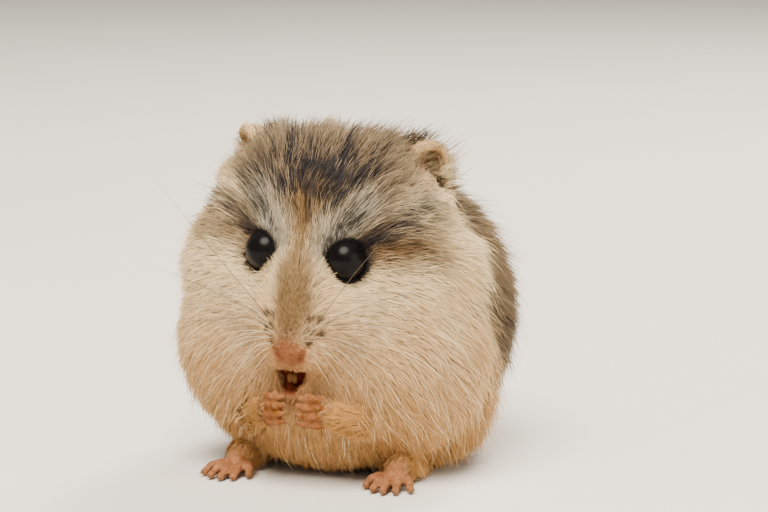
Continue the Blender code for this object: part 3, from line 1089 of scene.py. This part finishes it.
def keep_in_box(strands):
    """Shrinks each strand that would stand out past the solids' own box towards its root."""
    root = strands[:, :3].mean(axis=1, keepdims=True)
    room_low, room_high = root - (BOX_LOW * (1.02, 1.02, 1)), BOX_HIGH * 1.02 - root
    out = strands - root
    share = np.maximum(-out / np.maximum(room_low, 0.05), out / np.maximum(room_high, 0.05))
    share[..., 2] *= out[..., 2] >= 0
    shrunk = root + out / np.maximum(share.max(axis=(1, 2)), 1)[:, None, None]
    shrunk[..., 2] = np.maximum(shrunk[..., 2], 0.02)
    return shrunk


def some_of(tufts, keep):
    return {name: values[keep] for name, values in tufts.items()}


def bare(place):
    """Where no hair grows: inside the opening of the eyes and the mouth."""
    hidden = (in_mouth(place) > 0.4) | (nostril(head_coordinates(place), 0.4) > 0.55)
    for side in SIDES:
        _, reach, beyond = eye_reach(place, side)
        hidden |= (reach < EYE_RADIUS + 0.4) & (beyond < 3)
    return hidden


def coat_density(points, part):
    """Tufts to the square millimetre."""
    reach = distance_to(points, NOSE)
    density = np.interp(reach, (0, 5, 12, 20, 28), (18, 12.2, 6.0, 3.7, 2.0))
    for side in SIDES:
        by_eye = bell(off_eyeball(points, side), 0.9)
        density = density * (1 + 3.6 * by_eye + 0.6 * by_ear(points, side))
        fluff = ear_fluff(points, side)
        density = density * (1 - 0.55 * ear_hollow(points, side) * (1 - fluff)) * (1 + 0.8 * fluff)
    density = np.where(part == EAR, 5.0, density)
    density = np.where(part == PAW, 9.0 * step(np.abs(points[:, 0]) - 3.9, 0.9) + 1.5, density)
    density = np.where(part == FOOT, 3.0 + 5.0 * step(points[:, 1] + 12.2, 1.5), density)
    return np.where(part == LID, 0.0, density)


def dress_ears(tufts):
    """Short hair up the outside and the rim of each ear, and soft white hair in its bowl."""
    for side in SIDES:
        own, bowl = ear_bowl(tufts["place"], tufts["normal"], side)
        own &= tufts["part"] == EAR
        local, normal = ear_coordinates(tufts["place"], side)[own], tufts["normal"][own]
        outer = SIDES[side] * local[:, 0]
        bowl = bowl[own] * step(5.4 - local[:, 2], 2) * step(outer + 1.2, 1.6)
        edge = step(outer - 1.7, 0.8) * step(local[:, 1] + 1.6, 0.8)
        turn = EAR_TURNS[side]
        up = turn @ (0, -0.1, 1) + bowl[:, None] * (turn @ (SIDES[side] * 0.7, -0.5, -0.3))
        up = up + 0.25 * rng.normal(size=normal.shape)
        tufts["lie"][own] = lay_down(up, normal)
        tufts["length"][own] = 0.7 + 1.7 * bowl + 0.9 * edge
        tufts["lift"][own] = 0.42 + 0.45 * bowl
        tufts["end_lift"][own] = 0.0
        tufts["width"][own] = 0.048
        tufts["spread"][own] = 0.12
        tufts["contrast"][own] = 0.08
        pale = 0.15 if side == "left" else 0.55
        tone = blend(EAR_RIM, WHITE, pale + (0.9 - pale) * np.maximum(bowl, edge))
        for name, share in (("root", 0.8), ("middle", 0.95), ("tip", 1.0)):
            tufts[name][own] = tone * share


def dress_feet(tufts):
    """Thin short hair down the backs of the hands and feet, thick and long at the wrists and heels."""
    own = np.isin(tufts["part"], (PAW, FOOT))
    place, normal = tufts["place"][own], tufts["normal"][own]
    part = tufts["part"][own]
    inwards = -np.sign(place[:, 0])
    along_arm = np.column_stack([inwards, np.full_like(inwards, -0.6), np.zeros_like(inwards)])
    down = np.where((part == PAW)[:, None], along_arm, (0, -1, -0.3))
    down = down + 0.15 * rng.normal(size=normal.shape)
    thick = furry(place, part)
    on_top = step(normal[:, 2] + 0.4 + 0.6 * thick, 0.6)
    tufts["lie"][own] = lay_down(down, normal)
    tufts["length"][own] = (0.45 + 1.35 * thick) * (0.25 + 0.75 * on_top)
    tufts["lift"][own] = 0.16 + 0.25 * thick
    tufts["end_lift"][own] = 0.02
    tufts["bend"][own] *= 0.3
    tufts["width"][own] = 0.032 + 0.03 * thick
    tufts["spread"][own] = 0.18
    for name, share in (("root", 0.1), ("middle", 0.25), ("tip", 0.4)):
        tan = blend(SHADED_PAW_TAN, WHITE, share)
        fur = blend(tufts[name][own], CREAM, 0.55)
        tufts[name][own] = blend(tan, fur, thick)


def guard_hairs(ground, density):
    """Sparse long hairs that stand a little out of the coat, most of them on the cheeks and the crown."""
    head = step(4 - ground.middle[:, 1], 8) * step(ground.middle[:, 2] - 9, 6)
    away = step(distance_to(ground.middle, NOSE) - 4.0, 3)
    grows = (density > 0) & (ground.part == BODY)
    tufts = dress(*ground.roots(np.where(grows, 0.25 + 0.95 * head * away, 0)))
    crown = marks(tufts["place"])["dark"]
    tufts["length"] = tufts["length"] * (1.75 - 0.25 * crown) + 0.3
    tufts["lift"] = tufts["lift"] * 0.8
    tufts["end_lift"] = tufts["end_lift"] - 0.16 + 0.25 * crown
    tufts["bend"] = tufts["bend"] * 1.5 + rng.normal(0, 0.2, len(crown))
    tufts["spread"] = np.full(len(crown), 0.35)
    tufts["width"] = np.full(len(crown), 0.055)
    marked = marks(tufts["place"] + tufts["lie"] * 1.5)
    names = ("dark", "stripe", "temple", "brow", "lash", "nose")
    coloured = np.maximum.reduce([marked[name] for name in names])
    off_lips = step(distance_to(tufts["place"], LIPS) - 4, 2)
    cheeks = (1 - coloured) * off_lips * step(27 - tufts["place"][:, 2], 3)
    for name, share in (("root", 0.85), ("middle", 1.0), ("tip", 1.05)):
        tufts[name] = blend(tufts[name], np.array(WHITE) * share, 0.75 * cheeks)
    return tufts


def make_coat(skin):
    """All the hair on the skin, dealt out in turn to pieces of nearly equal size."""
    ground = Ground(skin.data)
    density = coat_density(ground.middle, ground.part)
    density = np.where(bare(ground.middle), 0, density)
    tufts = dress(*ground.roots(density))
    dress_ears(tufts)
    dress_feet(tufts)
    long_hair = (tufts["length"] > LONG_HAIR) & (tufts["place"][:, 1] < -4)
    pieces = []
    for label, group, strands, rings in (
        ("coat_long", some_of(tufts, long_hair), 5, 3),
        ("coat_short", some_of(tufts, ~long_hair), 5, 2),
        ("coat_guard", guard_hairs(ground, density), 2, 5),
    ):
        triangles = strands * (6 * rings - 2)
        count = len(group["place"])
        shares = math.ceil(count * triangles / PIECE_TRIANGLES)
        for share in range(shares):
            own = some_of(group, np.arange(count) % shares == share)
            pieces.append(mesh_piece(f"{label}_{share + 1}", *grow(own, strands, rings)))
    return pieces


# ---------------------------------------------------------------- materials


def add_node(nodes, kind, sockets=(), **settings):
    """A new node with its settings, and plain values on the sockets that are named or numbered."""
    made = nodes.new(kind)
    for name, value in settings.items():
        setattr(made, name, value)
    for socket, value in dict(sockets).items():
        made.inputs[socket].default_value = value
    return made


def wire(links, *joints):
    """Links an output of one node to an entry of another, for each joint."""
    for start, output, end, entry in joints:
        links.new(start.outputs[output], end.inputs[entry])


def new_material(name, roughness, specular):
    made = bpy.data.materials.new(name)
    made.use_nodes = True
    nodes, links = made.node_tree.nodes, made.node_tree.links
    shader = nodes["Principled BSDF"]
    shader.inputs["Roughness"].default_value = roughness
    shader.inputs["Specular IOR Level"].default_value = specular
    return made, nodes, links, shader


def group_with(name, inputs, outputs):
    """An empty node group with those named sockets."""
    made = bpy.data.node_groups.new(name, "ShaderNodeTree")
    for label, kind, value in inputs:
        made.interface.new_socket(label, in_out="INPUT", socket_type=kind).default_value = value
    for label, kind in outputs:
        made.interface.new_socket(label, in_out="OUTPUT", socket_type=kind)
    return made, made.nodes.new("NodeGroupInput"), made.nodes.new("NodeGroupOutput")


def make_mottle():
    """Shades a colour lighter and darker in small patches, all over the piece."""
    made, start, end = group_with(
        "mottle",
        [
            ("Color", "NodeSocketColor", (1, 1, 1, 1)),
            ("Scale", "NodeSocketFloat", 1000),
            ("Amount", "NodeSocketFloat", 0.2),
        ],
        [("Color", "NodeSocketColor"), ("Value", "NodeSocketFloat")],
    )
    place = add_node(made.nodes, "ShaderNodeTexCoord")
    noise = add_node(made.nodes, "ShaderNodeTexNoise", {"Detail": 4})
    spread = add_node(made.nodes, "ShaderNodeMapRange", {"From Min": 0.3, "From Max": 0.7})
    less = add_node(made.nodes, "ShaderNodeMath", {0: 1}, operation="SUBTRACT")
    more = add_node(made.nodes, "ShaderNodeMath", {0: 1}, operation="ADD")
    shade = add_node(made.nodes, "ShaderNodeVectorMath", operation="SCALE")
    wire(
        made.links,
        (place, "Object", noise, "Vector"),
        (start, "Scale", noise, "Scale"),
        (noise, "Fac", spread, "Value"),
        (start, "Amount", less, 1),
        (start, "Amount", more, 1),
        (less, "Value", spread, "To Min"),
        (more, "Value", spread, "To Max"),
        (start, "Color", shade, 0),
        (spread, "Result", shade, "Scale"),
        (shade, "Vector", end, "Color"),
        (noise, "Fac", end, "Value"),
    )
    return made


def make_folds():
    """Heights of the fine scales and creases of bare skin and horn."""
    made, start, end = group_with(
        "folds",
        [("Scale", "NodeSocketFloat", 3000), ("Grain", "NodeSocketFloat", 9000)],
        [("Height", "NodeSocketFloat")],
    )
    place = add_node(made.nodes, "ShaderNodeTexCoord")
    scales = add_node(made.nodes, "ShaderNodeTexVoronoi", feature="SMOOTH_F1")
    grain = add_node(made.nodes, "ShaderNodeTexNoise")
    height = add_node(made.nodes, "ShaderNodeMath", {1: 0.4}, operation="MULTIPLY_ADD")
    wire(
        made.links,
        (place, "Object", scales, "Vector"),
        (place, "Object", grain, "Vector"),
        (start, "Scale", scales, "Scale"),
        (start, "Grain", grain, "Scale"),
        (grain, "Fac", height, 0),
        (scales, "Distance", height, 2),
        (height, "Value", end, "Height"),
    )
    return made


MOTTLE, FOLDS = make_mottle(), make_folds()


def add_mottle(nodes, links, shader, colour, scale, amount):
    """Feeds the shader's colour, from an output or a plain colour, through the mottle."""
    mottle = add_node(nodes, "ShaderNodeGroup", {"Scale": scale, "Amount": amount}, node_tree=MOTTLE)
    if isinstance(colour, tuple):
        mottle.inputs["Color"].default_value = (*colour, 1)
    else:
        links.new(colour, mottle.inputs["Color"])
    wire(links, (mottle, "Color", shader, "Base Color"))
    return mottle


def vary_roughness(nodes, links, shader, mottle, low, high):
    """Lets the roughness follow the mottle's patches."""
    spread = add_node(nodes, "ShaderNodeMapRange", {"To Min": low, "To Max": high})
    wire(links, (mottle, "Value", spread, "Value"), (spread, "Result", shader, "Roughness"))


def add_folds(nodes, links, shader, scale, grain, depth):
    """Gives the shader a bump from the folds, which are as deep as that in metres."""
    folds = add_node(nodes, "ShaderNodeGroup", {"Scale": scale, "Grain": grain}, node_tree=FOLDS)
    bump = add_node(nodes, "ShaderNodeBump", {"Strength": 0.8, "Distance": depth})
    wire(links, (folds, "Height", bump, "Height"), (bump, "Normal", shader, "Normal"))


def marking_of(nodes):
    return add_node(nodes, "ShaderNodeAttribute", attribute_name="marking").outputs["Color"]


def coat_material(name, roughness, specular):
    """Hair: the marking of each strand, a little lighter and darker along it."""
    made, nodes, links, shader = new_material(name, roughness, specular)
    mottle = add_mottle(nodes, links, shader, marking_of(nodes), 1500, 0.12)
    vary_roughness(nodes, links, shader, mottle, roughness - 0.1, roughness + 0.1)
    return made


def skin_material():
    """Bare skin: its marking mottled, with fine scales and creases."""
    made, nodes, links, shader = new_material("skin", 0.7, 0.07)
    mottle = add_mottle(nodes, links, shader, marking_of(nodes), 1800, 0.22)
    vary_roughness(nodes, links, shader, mottle, 0.6, 0.85)
    add_folds(nodes, links, shader, 3400, 11000, 0.0002)
    return made


def eye_material():
    """Black, wet and deep."""
    made, nodes, links, shader = new_material("eye", 0.25, 0.09)
    add_mottle(nodes, links, shader, (0.0035, 0.0028, 0.003), 700, 0.4)
    return made


def hard_material(name, colour, roughness, specular, scale, depth):
    """Horn and tooth: a mottled colour with fine scales and grain."""
    made, nodes, links, shader = new_material(name, roughness, specular)
    mottle = add_mottle(nodes, links, shader, colour, scale, 0.25)
    vary_roughness(nodes, links, shader, mottle, roughness - 0.1, roughness + 0.15)
    add_folds(nodes, links, shader, scale * 1.5, scale * 5, depth)
    return made


def floor_material():
    """Smooth pale paper."""
    made, nodes, links, shader = new_material("floor", 0.8, 0.3)
    mottle = add_mottle(nodes, links, shader, (0.74, 0.71, 0.66), 14, 0.015)
    vary_roughness(nodes, links, shader, mottle, 0.75, 0.9)
    return made


# ---------------------------------------------------------------- the eyes


def make_eye(side):
    """A round ball whose clear front stands out a little."""
    eye = ball((0, 0, 0), (EYE_RADIUS,) * 3, segments=64)
    points = points_of(eye.data)
    axis = eye_axis(side)
    front = np.clip(unit(points) @ axis, 0, 1)
    points *= (0.985 + 0.015 * step(front - 0.55, 0.5))[:, None]
    set_points(eye.data, points + EYE[side])
    to_metres(eye)
    eye.name = eye.data.name = f"eyeball_{side}"
    bpy.ops.object.shade_smooth()
    return eye


# ---------------------------------------------------------------- whiskers and claws


def bent_hairs(starts, first, last, lengths, widths, rings):
    """Long single hairs, each turning steadily from its first direction to its last."""
    count, size = len(starts), 3 * rings + 1
    levels = np.linspace(0, 1, rings + 1)
    taper = np.interp(levels, (0, 0.5, 1), (1.0, 0.62, 0.0))
    centre = starts.copy()
    points, shading = np.empty((count, size, 3)), np.empty((count, size, 3))
    for k, level in enumerate(levels):
        way = unit(first + (last - first) * level)
        if k:
            centre = centre + way * (lengths / rings)[:, None]
        if k == rings:
            points[:, -1] = centre
            shading[:, -1] = way
            break
        side = unit(np.cross(way, (0.1, 0.2, 1.0)))
        over = np.cross(way, side)
        half = (widths * taper[k] / 2)[:, None]
        for corner in range(3):
            turn = 2 * math.pi * corner / 3
            shading[:, 3 * k + corner] = side * math.cos(turn) + over * math.sin(turn)
            points[:, 3 * k + corner] = centre + half * shading[:, 3 * k + corner]
    return points.reshape(-1, 3), shading.reshape(-1, 3), strand_faces(count, rings)


def make_whiskers(skin):
    """On each pad five rows, short in front and long behind, three long dark ones, and dark bristles."""
    faces = [tuple(face.vertices) for face in skin.data.polygons]
    skin_tree = BVHTree.FromPolygons([tuple(point) for point in points_of(skin.data)], faces)
    draw = np.random.default_rng(31)
    starts, first, last, lengths, tones = [], [], [], [], []

    def whisker(place, out, begin, end, length, tone=None):
        """One hair, from the skin nearest to its place. Without a tone it is pale, or now and then grey."""
        hit = skin_tree.find_nearest(Vector(place) + Vector(out))[0]
        jitter = draw.normal(0, 0.06, 3)
        starts.append(np.array(hit) - 0.15 * np.array(out))
        first.append(np.array(begin) + jitter)
        last.append(np.array(end) + jitter)
        lengths.append(length * draw.uniform(0.85, 1.1))
        drawn = 0.85 if draw.random() > 0.25 else 0.16
        tones.append(tone or drawn)

    for s in (-1, 1):
        out = (s * 0.8, -0.6, 0.0)
        for row in range(5):
            for column in range(5):
                down = -2.2 - 0.72 * row - 0.1 * column
                root = on_head(s * (1.5 + 0.55 * column), -9.2 + 0.75 * column, down)
                rise, forward = 0.62 - 0.33 * row, -0.5 + 0.2 * column
                begin, end = (s * 0.8, forward, rise), (s * 0.75, forward + 0.7, rise - 0.7)
                whisker(root, out, begin, end, 5.5 + 3.0 * column)
        for k in range(3):
            root = on_head(s * (2.9 + 0.3 * k), -7.4 + 0.4 * k, -1.9 - 0.6 * k)
            begin, end = (s * 0.62, -0.35, 0.75 - 0.3 * k), (s * 0.72, 0.15, 0.62 - 0.45 * k)
            whisker(root, out, begin, end, 25 - 3 * k, 0.12)
    for s in (-1, 1):
        for x, y, z in WHISKER_ROOTS:
            for _ in range(3):
                root = on_head(s * x, y, z) + draw.normal(0, 0.22, 3)
                begin, end = (s * 0.8, -0.35, 0.35), (s * 0.85, 0.3, 0.05)
                whisker(root, (s * 0.5, -0.6, 0.3), begin, end, 1.6, 0.02)
    starts, first, last = (np.array(values) for values in (starts, first, last))
    lengths, tones = np.array(lengths), np.array(tones)
    count, rings, reach = len(starts), 12, 0.7
    for _ in range(24):  # shortened until they stay within reach of the solids' box
        widths = 0.052 + 0.0018 * lengths
        points, shading, faces = bent_hairs(starts, first, last, lengths, widths, rings)
        hairs = points.reshape(count, -1, 3)
        out = ((hairs < BOX_LOW - reach) | (hairs > BOX_HIGH + reach)).any(axis=(1, 2))
        lengths = np.where(out, lengths * 0.94, lengths)
    size = 3 * rings + 1
    colours = np.repeat(tones[:, None] * np.array((0.78, 0.62, 0.42)), size, axis=0)
    along = np.append(np.repeat(np.arange(rings) / rings, 3), 1.0)
    uv = np.zeros((len(points), 2))
    uv[:, 0] = np.repeat((np.arange(count) + 0.5) / count, size)
    uv[:, 1] = np.tile(along, count) * 0.9 + 0.05
    return mesh_piece("whiskers", points, shading, colours, uv, faces)


def make_claws():
    """A small curved claw on each finger and toe."""
    claws = []
    for side, s in SIDES.items():
        for i in range(4):
            way = Vector((-s * 0.9, 0.1, -0.35)).normalized()
            claws.append(claw(finger(side, i)[2] + way * 0.38, way, 0.62, 0.12))
        for t in range(-2, 3):
            way = Vector((0.15 * t, -1, -0.12)).normalized()
            claws.append(claw(toe(side, t)[2] + Vector((0, 0, 0.12)) + way * 0.62, way, 0.95, 0.17))
    whole = join(claws, "claws")
    to_metres(whole)
    bpy.ops.object.shade_smooth()
    return whole


def claw(place, way, length, radius):
    """A pointed cone, thinner than it is deep, curved down towards its tip."""
    made = add(
        bpy.ops.mesh.primitive_cone_add,
        vertices=12, radius1=radius, radius2=radius * 0.08, depth=length,
    )
    edit()
    for share in (0.25, 0.5, 0.75):
        bpy.ops.mesh.bisect(plane_co=(0, 0, length * (share - 0.5)), plane_no=(0, 0, 1))
        bpy.ops.mesh.select_all(action="SELECT")
    stop_editing()
    points = points_of(made.data)
    along = points[:, 2] / length + 0.5
    points[:, 1] -= 0.32 * length * along**2
    points[:, 0] *= 0.75
    set_points(made.data, points)
    stand(made, place, way)
    return made


# ---------------------------------------------------------------- stage


def aim(obj, place, way):
    """Puts a lamp or the camera in its place, looking that way."""
    obj.location = place
    obj.rotation_euler = way.to_track_quat("-Z", "Y").to_euler()
    bpy.context.scene.collection.objects.link(obj)


def make_stage():
    """A pale floor, a soft warm sky, and three round lamps."""
    floor = add(bpy.ops.mesh.primitive_plane_add, size=4)
    floor.name = "floor"
    floor.data.materials.append(floor_material())
    world = bpy.data.worlds.new("studio")
    bpy.context.scene.world = world
    world.use_nodes = True
    sky = world.node_tree.nodes["Background"].inputs
    sky["Color"].default_value = (1, 0.97, 0.92, 1)
    sky["Strength"].default_value = 0.42
    for name, place, size, power in (
        ("key", (0.02, -0.36, 0.62), 0.50, 15.0),
        ("fill", (0.62, -0.20, 0.16), 0.60, 2.5),
        ("back", (0.10, 0.45, 0.50), 0.30, 7.0),
    ):
        light = bpy.data.lights.new(name, "AREA")
        light.shape, light.size, light.energy = "DISK", size, power
        light.color = (1, 0.92, 0.80)
        aim(bpy.data.objects.new(name, light), place, Vector((0, -0.01, 0.02)) - Vector(place))


def make_camera():
    lens = bpy.data.cameras.new("camera")
    lens.lens, lens.sensor_width = 128, 36
    lens.clip_start = 0.01
    camera = bpy.data.objects.new("camera", lens)
    azimuth, elevation, distance = math.radians(20), math.radians(9), 0.3
    target = Vector((0.0084, -0.01355, 0.026))
    level = math.cos(elevation)
    back = Vector((math.sin(azimuth) * level, -math.cos(azimuth) * level, math.sin(elevation)))
    aim(camera, target + back * distance, -back)
    bpy.context.scene.camera = camera


# ---------------------------------------------------------------- putting it together


def place_piece(piece, material, slot, *nodes):
    """Gives a finished piece its material and its body, and hides the solids that it stands for. The slot is
    not used.
    """
    piece.data.materials.append(material)
    if nodes:
        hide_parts(*nodes)
    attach(piece, "root")


make_camera()
make_stage()
skin = make_skin()
coat = make_coat(skin)
whiskers = make_whiskers(skin)
claws = make_claws()
skin.data.uv_layers.remove(skin.data.uv_layers.active)
to_metres(skin)
place_piece(skin, skin_material(), "coat", *FLESH)
fur, glossy = coat_material("coat", 0.8, 0.1), eye_material()
for piece in coat:
    place_piece(piece, fur, "coat")
place_piece(whiskers, coat_material("whisker", 0.5, 0.3), "coat")
place_piece(claws, hard_material("claw", HORN, 0.4, 0.2, 3000, 0.00003), "paw_skin")
for side in SIDES:
    place_piece(make_eye(side), glossy, "eye", "eye_" + side)
teeth = frame["nodes"]["upper_incisors"]
# the teeth get their own yellow-orange with painted shade, as they sit in the shade of the mouth
teeth.material_slots[0].material = hard_material("enamel", SHADED_ENAMEL, 0.45, 0.12, 2500, 0.00003)
